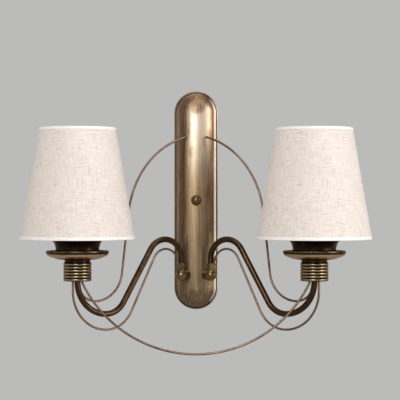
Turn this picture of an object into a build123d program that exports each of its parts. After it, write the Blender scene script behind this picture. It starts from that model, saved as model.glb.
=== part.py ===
from build123d import *
import os
from math import acos, asin, atan2, cos, degrees, hypot, radians, sin, sqrt, tan

# Wall light with two curved arms, two fabric shades and thin accent rods.
# Millimetres. +Z is up, the wall is the plane Y = 0 and the front faces -Y.
# The origin is the middle of the backplate on the wall.
# Everything that comes in pairs is made for the right side and mirrored for the left.

# ---- places of the two lights ----
light_x = 154.0            # light axis, out from the middle
light_y = -120.0           # light axis, out from the wall
ferrule_bottom_z = -104.9  # underside of the ribbed ferrule

# ---- backplate ----
plate_width = 60.0
plate_height = 300.0
plate_depth = 17.0         # wall to crown of the dome
plate_wall = 1.2
plate_rim = 3.4            # straight part of the edge
plate_edge_round = 1.8
plate_step = 0.8           # flat groove between edge and dome
face_gap = 0.3             # left between curved faces of pieces that move apart

# ---- wall bracket and centre fixing ----
strap_width = 20.0
strap_height = 110.0
strap_thickness = 2.0
screw_spacing = 80.0
screw_hole_r = 2.4
cable_hole_r = 6.0
cable_hole_z = -22.0
stud_r = 2.5
stud_bore_clearance = 0.06
stud_reach = 7.0           # beyond the crown of the plate
locknut_flats = 8.0
locknut_thickness = 4.0
cap_washer_r = 7.0
cap_washer_thickness = 1.0
cap_nut_r = 6.0
cap_nut_height = 9.5
cap_nut_flange = 3.5       # straight part below its dome
hole_clearance = 0.1       # plain holes around rods, studs and tubes

# ---- terminal block and earth ----
block_width = 24.0
block_height = 16.0
block_depth = 9.0
block_z = 22.0
terminal_screw_r = 1.7
terminal_pitch = 8.0
terminal_screw_depth = 3.0
earth_screw_z = -6.5
earth_screw_x = 6.0
earth_screw_r = 1.8
earth_head_r = 2.6
earth_head_thickness = 1.8
earth_wire_r = 0.9
earth_wire_gap = 3.6       # how far the earth wire stands off the strap

# ---- knuckles ----
ball_r = 8.0
ball_x = 20.0
ball_z = -101.6
knuckle_lean = 22.0        # degrees, post leaning outward, square to the dome
post_r = 7.0
tail_r = 5.0
tail_length = 7.0          # behind the outer face of the plate
knuckle_nut_flats = 13.0
knuckle_nut_thickness = 3.5
knuckle_bore_r = 2.9
socket_depth = 4.0         # ball centre to the foot of the tube

# ---- arm tube, collar ----
tube_r = 4.0
tube_wall = 1.0
arm_arch_r = 26.7
arm_trough_r = 30.6
arm_rise_r = 44.0
arm_peak_z = -52.8
arm_bottom_z = -149.6
tube_stub = 9.0            # of the tube above the ferrule's underside
collar_wall = 1.2
collar_height = 10.0

# ---- accent rods ----
rod_r = 1.5
rod_ring_r = 6.8           # rods' distance from the light axis in the ferrule
rod_turn = 127.0           # degrees round the ferrule from the lower rod
rod_seat = 3.0             # depth of the rods in the ferrule
lower_rod_gap = 0.2        # between lower rod and tube in the collar
lower_rod_arch_r = 20.1
lower_rod_trough_r = 41.8
lower_rod_rise_r = 52.0
lower_rod_peak_z = -65.7
lower_rod_bottom_z = -170.3
lower_rod_foot = 9.0       # ball centre to the rod's lower end in the collar
hoop_hole_x = 14.5
hoop_hole_z = 86.5
hoop_stand = 4.5           # plate to the rod's bend
hoop_tail = 6.0            # of the rod behind the plate's face
hoop_bend_r = 4.0
hoop_run = 4.0             # straight part after the bend
hoop_slope = 17.6          # degrees below level where the hoop starts
hoop_arch_r = 121.0
hoop_trough_r = 40.0
hoop_rise_r = 27.0
hoop_bottom_z = -132.6
swag_bottom_z = -200.0
swag_bend_r = 5.0

# ---- ribbed ferrule, neck, dish, cup, nipple ----
ferrule_r = 18.5
ferrule_height = 24.0
ferrule_wall = 2.2
ferrule_floor = 4.0
rib_count = 6
rib_depth = 1.3
neck_r = 17.5
neck_height = 3.4
neck_register = 1.5        # spigot of the neck in the ferrule's mouth
dish_r = 41.0
dish_height = 12.0
dish_wall = 1.2
dish_flat_r = 17.0
dish_corner = 3.0          # belly's end, in from the rim
dish_belly_z = 5.2
dish_belly_sag = 1.1
dish_side_sag = 0.9
cup_rim_r = 34.0
cup_waist_r = 28.4
cup_height = 26.0
cup_waist_z = 12.0         # above the cup's underside
cup_foot_r = 16.5
cup_bowl_sag = 2.2
cup_flare_sag = 1.5
cup_wall = 1.2
nipple_r = 5.0
nipple_wall = 0.9
nipple_socket = 8.0        # of the nipple in the lampholder

# ---- lampholder ----
holder_r = 19.5
holder_wall = 1.6
holder_base_height = 18.0
holder_body_height = 40.0
holder_mouth_r = 14.3
holder_floor = 3.0
holder_flange_r = 22.5
holder_flange = 2.0
shade_seat = 42.5          # lampholder's underside to the shade's seat
holder_thread_depth = 0.6
holder_thread_pitch = 2.0
shell_wall = 0.75
shell_height = 26.0
tongue_r = 5.0
tongue_stem_r = 2.8
tongue_thickness = 1.0

# ---- bulb, E27 screw cap ----
cap_thread_r = 13.15
cap_thread_pitch = 3.629
cap_thread_depth = 0.9
cap_turns = 5
bulb_tip_r = 4.5
bulb_tip_height = 1.5
bulb_seal_r = 10.5
bulb_seal_height = 3.2
cap_wall = 0.5
shell_clearance = 0.2      # between cap crests and holder shell
bulb_neck_r = 13.3
bulb_neck_height = 14.0
bulb_r = 30.0
bulb_height = 78.0
bulb_wall = 0.9
bulb_meet = 30.0           # degrees below level where shoulder and globe meet
bulb_shoulder_sag = -1.2

# ---- shade, its frame and its ring ----
shade_bottom_z = -50.6
shade_height = 145.0
shade_bottom_r = 75.0
shade_top_r = 50.0
cloth_thickness = 0.8
trim_thickness = 0.35
trim_height = 4.0
trim_clearance = 0.02      # cloth to trim
frame_wire_r = 1.25
fitter_inner_r = 20.0
fitter_outer_r = 27.0
fitter_thickness = 1.5
spoke_r = 1.3
spoke_count = 3
ring_r = 27.0
ring_height = 8.0
ring_clearance = 0.08
ring_notches = 16
ring_notch_r = 1.2

# ---- leads ----
lead_r = 1.9
lead_bend_r = 6.5
lead_block_x = 5.5
lead_y = -7.5
lead_corner_z = -86.0
lead_stop = 3.0            # of the lead above the nipple's top, in the holder

# ---- worked out once from the sizes above ----
dome_half = plate_width / 2 - plate_edge_round - plate_step
dome_sag = plate_depth - plate_rim - plate_edge_round
dome_r = (dome_half**2 + dome_sag**2) / (2 * dome_sag)
dome_axis_y = dome_r - plate_depth
end_z = (plate_height - plate_width) / 2
lean = radians(knuckle_lean)
post_foot_x = dome_r * sin(lean)
post_foot_y = dome_axis_y - dome_r * cos(lean)
post_length = (ball_x - post_foot_x) / sin(lean)
ball_y = post_foot_y - post_length * cos(lean)
post_direction = (sin(lean), -cos(lean), 0)
arm_span = hypot(light_x - ball_x, light_y - ball_y)
arm_direction = ((light_x - ball_x) / arm_span, (light_y - ball_y) / arm_span)
arm_angle = degrees(atan2(arm_direction[1], arm_direction[0]))
neck_z = ferrule_bottom_z + ferrule_height
dish_z = neck_z + neck_height
cup_z = dish_z + dish_wall
holder_z = cup_z + cup_wall
bulb_z = holder_z + holder_base_height + holder_floor + tongue_thickness + face_gap
cap_height = bulb_seal_height + cap_turns * cap_thread_pitch + 2.0
seat_z = holder_z + shade_seat
shade_top_z = shade_bottom_z + shade_height
thread_r = holder_r - holder_thread_depth


def dome_y(x):
    return dome_axis_y - sqrt(dome_r**2 - x**2)


def save(node, *solids):
    export_step(Compound(children=list(solids)) if len(solids) > 1 else solids[0], f"parts/{node}.step")


def save_pair(node, *solids):
    save("right_" + node, *solids)
    save("left_" + node, *[mirror(solid, about=Plane.YZ) for solid in solids])


def ring_of_points(radius, angle):
    return (light_x + radius * cos(radians(angle)), light_y + radius * sin(radians(angle)))


def bowed(start, end, sag):
    # arc between two points, bulging to the left of the way it runs where sag is positive
    run = (end[0] - start[0], end[1] - start[1])
    length = hypot(*run)
    middle = ((start[0] + end[0]) / 2 - run[1] / length * sag, (start[1] + end[1]) / 2 + run[0] / length * sag)
    return ThreePointArc(start, middle, end)


def turned(*curves):
    # a closed half profile in (radius, height), turned about the light axis at the origin
    profile = Curve() + list(curves)
    return revolve(Plane.XZ * make_face(profile), Axis.Z)


def turned_polygon(*points):
    return turned(Polyline(*points, close=True))


def at_light(solid, z=0.0):
    return Pos(light_x, light_y, z) * solid


def upright_plane(origin, direction):
    # sketch plane whose x runs level along direction and whose y is up
    return Plane(origin=origin, x_dir=(direction[0], direction[1], 0), z_dir=(direction[1], -direction[0], 0))


def s_bend(start, heading, arch_r, trough_r, rise_r, bottom, end_u, end_v):
    # arch turning down, straight slope, trough, and a rise that ends upright
    slope = radians(heading)
    arch_u = start[0] + arch_r * sin(slope)
    arch_v = start[1] - arch_r * cos(slope)
    trough_u = end_u - rise_r
    trough_v = bottom + trough_r
    apart = hypot(trough_u - arch_u, trough_v - arch_v)
    leave = atan2(trough_v - arch_v, trough_u - arch_u) + acos((arch_r + trough_r) / apart)
    leave = degrees(leave)
    arch = CenterArc((arch_u, arch_v), arch_r, heading + 90, leave - heading - 90)
    trough = CenterArc((trough_u, trough_v), trough_r, leave + 180, 90 - leave)
    rise = CenterArc((trough_u, bottom + rise_r), rise_r, 270, 90)
    slope_line = Line(arch @ 1, trough @ 0)
    end_line = Line(rise @ 1, (end_u, end_v))
    return [arch, slope_line, trough, rise, end_line]


def rod(path, radius, inner=0.0):
    start = Plane(origin=path @ 0, z_dir=path % 0)
    solid = sweep(start * Circle(radius), path=path)
    if inner:
        solid -= sweep(start * Circle(inner), path=path)
    return solid


def hexagon(flats, thickness, bore_r):
    return extrude(RegularPolygon(flats / 2, 6, major_radius=False) - Circle(bore_r), thickness)


def ridges(radius, depth, pitch, count, z, outward=True):
    # rounded ridges of a thread or of ribs, drawn upward from z
    crest = radius if outward else radius + depth
    root = radius - depth if outward else radius
    base, peak = (root, crest) if outward else (crest, root)
    arcs = []
    for i in range(count):
        low = z + i * pitch
        arcs.append(ThreePointArc((base, low), (peak, low + pitch / 2), (base, low + pitch)))
    return arcs


# ---- backplate and what is behind it ----

def plate_profile():
    half = plate_width / 2
    shoulder = plate_rim + plate_edge_round
    inner_r = dome_r - plate_wall
    outer_angle = degrees(asin(dome_half / dome_r))
    inner_angle = degrees(asin((dome_half - plate_wall / 2) / inner_r))
    dome = CenterArc((0, dome_axis_y), dome_r, outer_angle - 90, -outer_angle)
    lining = CenterArc((0, dome_axis_y), inner_r, -90, inner_angle)
    diagonal = plate_edge_round * sin(radians(45))
    outline = Curve() + [
        Line((half, 0), (half, -plate_rim)),
        ThreePointArc(
            (half, -plate_rim),
            (half - plate_edge_round + diagonal, -plate_rim - diagonal),
            (half - plate_edge_round, -shoulder),
        ),
        Line((half - plate_edge_round, -shoulder), (dome_half, -shoulder)),
        dome,
        Line(dome @ 1, lining @ 0),
        lining,
        Line(lining @ 1, (half - plate_wall, -plate_rim)),
        Line((half - plate_wall, -plate_rim), (half - plate_wall, 0)),
        Line((half - plate_wall, 0), (half, 0)),
    ]
    return make_face(outline)


def post_axis_place(distance):
    # a place on the post's axis, counted outward from the plate, with z along the axis
    x = post_foot_x + distance * sin(lean)
    y = post_foot_y - distance * cos(lean)
    return Plane(origin=(x, y, ball_z), z_dir=post_direction).location


def backplate():
    profile = plate_profile()
    middle = extrude(Pos(0, 0, -end_z) * profile, 2 * end_z, dir=(0, 0, 1))
    top = revolve(Pos(0, 0, end_z) * profile, Axis((0, 0, end_z), (0, -1, 0)), 180)
    body = middle + mirror(middle, about=Plane.YZ) + top + mirror(top, about=Plane.XY)
    along_y = Plane.XZ.location
    body -= along_y * Cylinder(stud_r + hole_clearance, 4 * plate_depth)
    for side in (-1, 1):
        hole = Pos(side * hoop_hole_x, 0, hoop_hole_z) * along_y * Cylinder(rod_r + hole_clearance, 4 * plate_depth)
        body -= hole
    tail_hole = post_axis_place(0) * Cylinder(tail_r + hole_clearance, 3 * plate_wall)
    return body - tail_hole - mirror(tail_hole, about=Plane.YZ)


def wall_bracket():
    along_y = Plane.XZ.location
    strap = Pos(0, -strap_thickness / 2, 0) * Box(strap_width, strap_thickness, strap_height)
    strap = fillet(strap.edges().filter_by(Axis.Y), strap_width / 5)
    for z in (-screw_spacing / 2, screw_spacing / 2):
        strap -= Pos(0, 0, z) * along_y * Cylinder(screw_hole_r, 4 * strap_thickness)
    strap -= Pos(0, 0, cable_hole_z) * along_y * Cylinder(cable_hole_r, 4 * strap_thickness)
    strap -= along_y * Cylinder(stud_r + hole_clearance, 4 * strap_thickness)
    strap -= Pos(earth_screw_x, 0, earth_screw_z) * along_y * Cylinder(earth_screw_r + hole_clearance, 4 * strap_thickness)
    return strap


def outward(solid, x, y, z):
    # a solid drawn upward from its base, turned to stand out from the wall
    return Pos(x, y, z) * Rot(90, 0, 0) * solid


def upward_cylinder(radius, height):
    return extrude(Circle(radius), height)


def make_centre_fixing():
    reach = plate_depth + stud_reach
    save("centre_stud", outward(upward_cylinder(stud_r, reach), 0, 0, 0))
    locknut = hexagon(locknut_flats, locknut_thickness, stud_r + stud_bore_clearance)
    save("stud_locknut", outward(locknut, 0, -strap_thickness, 0))
    washer_y = -plate_depth - face_gap
    washer = extrude(Circle(cap_washer_r) - Circle(stud_r + hole_clearance), cap_washer_thickness)
    save("cap_nut_washer", outward(washer, 0, washer_y, 0))
    dome_height = cap_nut_height - cap_nut_flange
    bore_r = stud_r + stud_bore_clearance
    bore_depth = stud_reach - face_gap - cap_washer_thickness + 0.6
    cap = turned(
        Line((bore_r, 0), (cap_nut_r, 0)),
        Line((cap_nut_r, 0), (cap_nut_r, cap_nut_flange)),
        ThreePointArc(
            (cap_nut_r, cap_nut_flange),
            (cap_nut_r * sin(radians(45)), cap_nut_flange + dome_height * sin(radians(45))),
            (0, cap_nut_height),
        ),
        Line((0, cap_nut_height), (0, bore_depth)),
        Line((0, bore_depth), (bore_r, bore_depth)),
        Line((bore_r, bore_depth), (bore_r, 0)),
    )
    save("cap_nut", outward(cap, 0, washer_y - cap_washer_thickness, 0))


def make_terminals():
    block = Pos(0, -strap_thickness - block_depth / 2, block_z) * Box(block_width, block_depth, block_height)
    block = chamfer(block.faces().sort_by(Axis.Y)[0].edges(), 0.8)
    screws = []
    for column in (-1, 0, 1):
        for row in (-1, 1):
            x = column * terminal_pitch
            z = block_z + row * block_height / 4
            front = -strap_thickness - block_depth
            place = Pos(x, front + terminal_screw_depth, z) * Rot(90, 0, 0)
            block -= place * upward_cylinder(terminal_screw_r, terminal_screw_depth + 1)
            screw = extrude(Circle(terminal_screw_r), terminal_screw_depth - 0.6)
            slot = Pos(0, 0, terminal_screw_depth - 0.6) * Box(4 * terminal_screw_r, 0.6, 0.8)
            screws.append(place * (screw - slot))
    save("terminal_block", block)
    save("terminal_screws", *screws)
    shank = outward(upward_cylinder(earth_screw_r, strap_thickness), earth_screw_x, 0, earth_screw_z)
    head = extrude(Circle(earth_head_r), earth_head_thickness) - Pos(0, 0, earth_head_thickness) * Box(9, 0.7, 1)
    save("earth_screw", shank + outward(head, earth_screw_x, -strap_thickness, earth_screw_z))
    wire_y = -strap_thickness - earth_wire_gap
    path = FilletPolyline(
        (earth_screw_x + earth_head_r + earth_wire_r, -strap_thickness - earth_wire_r, earth_screw_z - 2),
        (earth_screw_x + earth_head_r + earth_wire_r, -strap_thickness - earth_wire_r, earth_screw_z + 4),
        (terminal_pitch, wire_y, earth_screw_z + 10),
        (terminal_pitch, wire_y, block_z - block_height / 2),
        radius=3.0,
    )
    save("earth_lead", rod(path, earth_wire_r))


# ---- knuckles, arms and rods ----

def make_knuckle():
    place = post_axis_place(0)
    bore_length = post_length + tail_length
    ball = Pos(ball_x, ball_y, ball_z) * Sphere(ball_r)
    post = place * Pos(0, 0, -2) * upward_cylinder(post_r, post_length + 2)
    dome = Pos(0, dome_axis_y, ball_z) * Cylinder(dome_r, 8 * ball_r)
    tail = place * Pos(0, 0, -tail_length) * upward_cylinder(tail_r, tail_length + 2)
    body = (ball + post - dome) + tail
    body -= place * Pos(0, 0, -tail_length) * upward_cylinder(knuckle_bore_r, bore_length)
    body -= Pos(ball_x, ball_y, ball_z) * Sphere(knuckle_bore_r)
    up = Pos(ball_x, ball_y, ball_z)
    body -= up * upward_cylinder(knuckle_bore_r, ball_r)
    body -= up * Pos(0, 0, socket_depth) * upward_cylinder(tube_r + hole_clearance, ball_r)
    save_pair("knuckle", body)
    inner_r = dome_r - plate_wall
    corner = knuckle_nut_flats / 2 / cos(radians(30))
    seat = plate_wall + inner_r - sqrt(inner_r**2 - corner**2)
    nut = hexagon(knuckle_nut_flats, knuckle_nut_thickness, tail_r + stud_bore_clearance)
    save_pair("knuckle_nut", place * Pos(0, 0, -seat - knuckle_nut_thickness) * nut)


def arm_edges(foot_z, top_z):
    arch_start = (0, arm_peak_z - arm_arch_r)
    bend = s_bend(arch_start, 90, arm_arch_r, arm_trough_r, arm_rise_r, arm_bottom_z, arm_span, top_z)
    return [Line((0, foot_z), arch_start)] + bend


def make_arm():
    plane = upright_plane((ball_x, ball_y, 0), arm_direction)
    path = plane * (Curve() + arm_edges(ball_z + socket_depth, ferrule_bottom_z + tube_stub))
    save_pair("arm_tube", rod(path, tube_r, tube_r - tube_wall))
    rod_u = tube_r + rod_r + lower_rod_gap
    sketch = make_hull(
        (Circle(tube_r + collar_wall) + Pos(rod_u, 0) * Circle(rod_r + collar_wall)).edges()
    )
    sketch = sketch - Circle(tube_r + hole_clearance / 2) - Pos(rod_u, 0) * Circle(rod_r + hole_clearance / 2)
    foot = sqrt(ball_r**2 - (tube_r + collar_wall) ** 2) - 1
    collar = Pos(ball_x, ball_y, ball_z + foot) * Rot(0, 0, arm_angle) * extrude(sketch, collar_height + 1)
    collar -= Pos(ball_x, ball_y, ball_z) * Sphere(ball_r)
    save_pair("arm_collar", collar - post_axis_place(0) * upward_cylinder(post_r, post_length))
    start = (rod_u, lower_rod_peak_z - lower_rod_arch_r)
    end_u = arm_span + rod_ring_r
    bend = s_bend(
        start, 90, lower_rod_arch_r, lower_rod_trough_r, lower_rod_rise_r,
        lower_rod_bottom_z, end_u, ferrule_bottom_z + rod_seat,
    )
    path = plane * (Curve() + [Line((rod_u, ball_z + lower_rod_foot), start)] + bend)
    save_pair("lower_rod", rod(path, rod_r))


def make_hoop():
    seat = ring_of_points(rod_ring_r, arm_angle + rod_turn)
    face_y = dome_y(hoop_hole_x)
    corner = (hoop_hole_x, face_y - hoop_stand, hoop_hole_z)
    span = hypot(seat[0] - corner[0], seat[1] - corner[1])
    direction = ((seat[0] - corner[0]) / span, (seat[1] - corner[1]) / span)
    drop = radians(hoop_slope)
    run = hoop_run + hoop_bend_r
    start = (run * cos(drop), hoop_hole_z - run * sin(drop))
    plane = upright_plane((corner[0], corner[1], 0), direction)
    tail = FilletPolyline(
        (hoop_hole_x, face_y + hoop_tail, hoop_hole_z),
        corner,
        (corner[0] + start[0] * direction[0], corner[1] + start[0] * direction[1], start[1]),
        radius=hoop_bend_r,
    )
    bend = s_bend(
        start, -hoop_slope, hoop_arch_r, hoop_trough_r, hoop_rise_r,
        hoop_bottom_z, span, ferrule_bottom_z + rod_seat,
    )
    path = Curve() + [tail, plane * (Curve() + bend)]
    save_pair("hoop_rod", rod(path, rod_r))


def make_swag():
    seat = ring_of_points(rod_ring_r, arm_angle - rod_turn)
    top = ferrule_bottom_z - 1.0
    reach = seat[0] - swag_bend_r
    rise = top - swag_bottom_z - swag_bend_r
    core = (reach**2 + rise**2) / (2 * rise)
    turn = degrees(asin(reach / core))
    bow = CenterArc((0, swag_bottom_z + core + swag_bend_r), core + swag_bend_r, 270 - turn, 2 * turn)
    bend = CenterArc((reach, top), swag_bend_r, 270 + turn, 90 - turn)
    left_bend = CenterArc((-reach, top), swag_bend_r, 180, 90 - turn)
    tip = ferrule_bottom_z + rod_seat
    lines = [Line((side * seat[0], top), (side * seat[0], tip)) for side in (-1, 1)]
    path = upright_plane((0, seat[1], 0), (1, 0)) * (Curve() + [lines[0], left_bend, bow, bend, lines[1]])
    save("swag_rod", rod(path, rod_r))


# ---- the column of each light ----

def make_column():
    floor_z = ferrule_bottom_z
    inner_r = ferrule_r - ferrule_wall
    pitch = ferrule_height / rib_count
    root = ferrule_r - rib_depth
    ferrule = turned(
        Line((0, 0), (root, 0)),
        *ridges(ferrule_r, rib_depth, pitch, rib_count, 0),
        Line((root, ferrule_height), (inner_r, ferrule_height)),
        Line((inner_r, ferrule_height), (inner_r, ferrule_floor)),
        Line((inner_r, ferrule_floor), (0, ferrule_floor)),
        Line((0, ferrule_floor), (0, 0)),
    )
    ferrule -= Cylinder(tube_r + hole_clearance / 2, 6 * ferrule_floor)
    for angle in (arm_angle, arm_angle + rod_turn, arm_angle - rod_turn):
        x = rod_ring_r * cos(radians(angle))
        y = rod_ring_r * sin(radians(angle))
        ferrule -= Pos(x, y, -1) * upward_cylinder(rod_r + hole_clearance / 2, rod_seat + 1)
    save_pair("ribbed_ferrule", at_light(ferrule, floor_z))

    bore = nipple_r + hole_clearance
    register_r = inner_r - hole_clearance
    waist = neck_height / 2
    neck = turned(
        Line((bore, -neck_register), (register_r, -neck_register)),
        Line((register_r, -neck_register), (register_r, 0)),
        Line((register_r, 0), (neck_r, 0)),
        ThreePointArc((neck_r, 0), (neck_r - 0.8, waist), (neck_r, neck_height)),
        Line((neck_r, neck_height), (bore, neck_height)),
        Line((bore, neck_height), (bore, -neck_register)),
    )
    save_pair("neck_ring", at_light(neck, neck_z))

    lip_z = dish_height - dish_wall / 2
    corner = (dish_r - dish_corner, dish_belly_z)
    inner_corner = (corner[0] - dish_wall / 2, corner[1] + dish_wall)
    dish = turned(
        Line((bore, 0), (dish_flat_r, 0)),
        bowed((dish_flat_r, 0), corner, -dish_belly_sag),
        bowed(corner, (dish_r, lip_z), -dish_side_sag),
        bowed((dish_r, lip_z), (dish_r - dish_wall, lip_z), -dish_wall / 2),
        bowed((dish_r - dish_wall, lip_z), inner_corner, dish_side_sag),
        bowed(inner_corner, (dish_flat_r, dish_wall), dish_belly_sag),
        Line((dish_flat_r, dish_wall), (bore, dish_wall)),
        Line((bore, dish_wall), (bore, 0)),
    )
    save_pair("drip_dish", at_light(dish, dish_z))

    lip_z = cup_height - cup_wall / 2
    waist = (cup_waist_r, cup_waist_z)
    inner_waist = (cup_waist_r - cup_wall, cup_waist_z)
    cup = turned(
        Line((bore, 0), (cup_foot_r, 0)),
        bowed((cup_foot_r, 0), waist, -cup_bowl_sag),
        bowed(waist, (cup_rim_r, lip_z), cup_flare_sag),
        bowed((cup_rim_r, lip_z), (cup_rim_r - cup_wall, lip_z), -cup_wall / 2),
        bowed((cup_rim_r - cup_wall, lip_z), inner_waist, -cup_flare_sag),
        bowed(inner_waist, (cup_foot_r, cup_wall), cup_bowl_sag),
        Line((cup_foot_r, cup_wall), (bore, cup_wall)),
        Line((bore, cup_wall), (bore, 0)),
    )
    save_pair("cup", at_light(cup, cup_z))

    foot_z = ferrule_bottom_z + ferrule_floor
    socket_top = ferrule_bottom_z + tube_stub - foot_z
    length = holder_z + nipple_socket - foot_z
    nipple_bore = nipple_r - nipple_wall
    nipple = upward_cylinder(nipple_r, length)
    nipple -= upward_cylinder(tube_r + hole_clearance / 2, socket_top)
    nipple -= upward_cylinder(nipple_bore - 1, length)
    save_pair("nipple", at_light(nipple, foot_z))


def make_lampholder():
    height = holder_base_height
    bore = nipple_r + hole_clearance / 2
    inner = holder_r - holder_wall
    base = turned(
        Line((bore, 0), (11, 0)),
        ThreePointArc((11, 0), (17.2, 3.4), (holder_r, 10)),
        Line((holder_r, 10), (holder_r, height)),
        Line((holder_r, height), (inner, height)),
        Line((inner, height), (inner, 10)),
        ThreePointArc((inner, 10), (15.9, 4.6), (10, 2.2)),
        Line((10, 2.2), (bore + 3, nipple_socket)),
        Line((bore + 3, nipple_socket), (bore, nipple_socket)),
        Line((bore, nipple_socket), (bore, 0)),
    )
    save_pair("lampholder_base", at_light(base, holder_z))

    top = holder_base_height + holder_body_height
    turns = int((top - shade_seat - 2) / holder_thread_pitch)
    thread_top = shade_seat + 1 + turns * holder_thread_pitch
    floor_top = height + holder_floor
    stem_bore = tongue_stem_r + hole_clearance
    body = turned(
        Line((stem_bore, height), (holder_r, height)),
        Line((holder_r, height), (holder_r, shade_seat - holder_flange - 2)),
        Line((holder_r, shade_seat - holder_flange - 2), (holder_flange_r, shade_seat - holder_flange)),
        Line((holder_flange_r, shade_seat - holder_flange), (holder_flange_r, shade_seat)),
        Line((holder_flange_r, shade_seat), (thread_r, shade_seat)),
        Line((thread_r, shade_seat), (thread_r, shade_seat + 1)),
        *ridges(holder_r, holder_thread_depth, holder_thread_pitch, turns, shade_seat + 1),
        Line((thread_r, thread_top), (thread_r, top)),
        Line((thread_r, top), (holder_mouth_r, top)),
        Line((holder_mouth_r, top), (holder_mouth_r, floor_top)),
        Line((holder_mouth_r, floor_top), (stem_bore, floor_top)),
        Line((stem_bore, floor_top), (stem_bore, height)),
    )
    save_pair("lampholder_body", at_light(body, holder_z))

    outer = holder_mouth_r - hole_clearance
    crest = cap_thread_r + shell_clearance
    depth = outer - shell_wall / 3 - crest
    count = int(shell_height / cap_thread_pitch)
    ridge_start = floor_top + (shell_height - count * cap_thread_pitch) / 2
    ridge_end = ridge_start + count * cap_thread_pitch
    shell = turned(
        Line((outer, floor_top + shell_height), (outer, floor_top)),
        Line((outer, floor_top), (crest + depth, floor_top)),
        Line((crest + depth, floor_top), (crest + depth, ridge_start)),
        *ridges(crest, depth, cap_thread_pitch, count, ridge_start, outward=False),
        Line((crest + depth, ridge_end), (crest + depth, floor_top + shell_height)),
        Line((crest + depth, floor_top + shell_height), (outer, floor_top + shell_height)),
    )
    tongue = Pos(0, 0, floor_top) * upward_cylinder(tongue_r, tongue_thickness)
    tongue += Pos(0, 0, height - 3) * upward_cylinder(tongue_stem_r, holder_floor + 3)
    save_pair("lampholder_contacts", at_light(shell, holder_z), at_light(tongue, holder_z))


def make_bulb():
    tip = upward_cylinder(bulb_tip_r, bulb_tip_height)
    tip = chamfer(tip.edges().sort_by(Axis.Z)[0], bulb_tip_height / 3)
    save_pair("bulb_contact", at_light(tip, bulb_z))

    cap_z = bulb_tip_height
    shell_z = cap_z + bulb_seal_height
    root = cap_thread_r - cap_thread_depth
    inside = root - cap_wall
    seal = turned_polygon((0, cap_z), (bulb_tip_r + 1, cap_z), (bulb_seal_r, shell_z), (0, shell_z))
    save_pair("bulb_insulator", at_light(seal, bulb_z))

    thread_end = shell_z + cap_turns * cap_thread_pitch
    cap_top = cap_z + cap_height
    shell = turned(
        Line((0, shell_z), (root, shell_z)),
        *ridges(cap_thread_r, cap_thread_depth, cap_thread_pitch, cap_turns, shell_z),
        Line((root, thread_end), (root, cap_top)),
        Line((root, cap_top), (inside, cap_top)),
        Line((inside, cap_top), (inside, shell_z + cap_wall)),
        Line((inside, shell_z + cap_wall), (0, shell_z + cap_wall)),
        Line((0, shell_z + cap_wall), (0, shell_z)),
    )
    save_pair("bulb_cap", at_light(shell, bulb_z))

    neck_top = cap_top + bulb_neck_height
    globe_z = cap_top + bulb_height - bulb_r
    inner_r = bulb_r - bulb_wall
    neck_inner = bulb_neck_r - bulb_wall
    meet = radians(bulb_meet)
    outer_meet = (bulb_r * cos(meet), globe_z - bulb_r * sin(meet))
    inner_meet = (inner_r * cos(meet), globe_z - inner_r * sin(meet))
    glass = turned(
        Line((neck_inner, cap_top), (bulb_neck_r, cap_top)),
        Line((bulb_neck_r, cap_top), (bulb_neck_r, neck_top)),
        bowed((bulb_neck_r, neck_top), outer_meet, -bulb_shoulder_sag),
        CenterArc((0, globe_z), bulb_r, -bulb_meet, 90 + bulb_meet),
        Line((0, globe_z + bulb_r), (0, globe_z + inner_r)),
        CenterArc((0, globe_z), inner_r, 90, -90 - bulb_meet),
        bowed(inner_meet, (neck_inner, neck_top), bulb_shoulder_sag),
        Line((neck_inner, neck_top), (neck_inner, cap_top)),
    )
    save_pair("bulb_glass", at_light(glass, bulb_z))


# ---- shade ----

def shade_r(z):
    share = (z - shade_bottom_z) / shade_height
    return shade_bottom_r + (shade_top_r - shade_bottom_r) * share


def cone_band(low, high, outer, inner):
    # a band of the shade's cone between two heights and two depths below its outer face
    return turned_polygon(
        (shade_r(low) - outer, low), (shade_r(high) - outer, high),
        (shade_r(high) - inner, high), (shade_r(low) - inner, low),
    )


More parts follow.
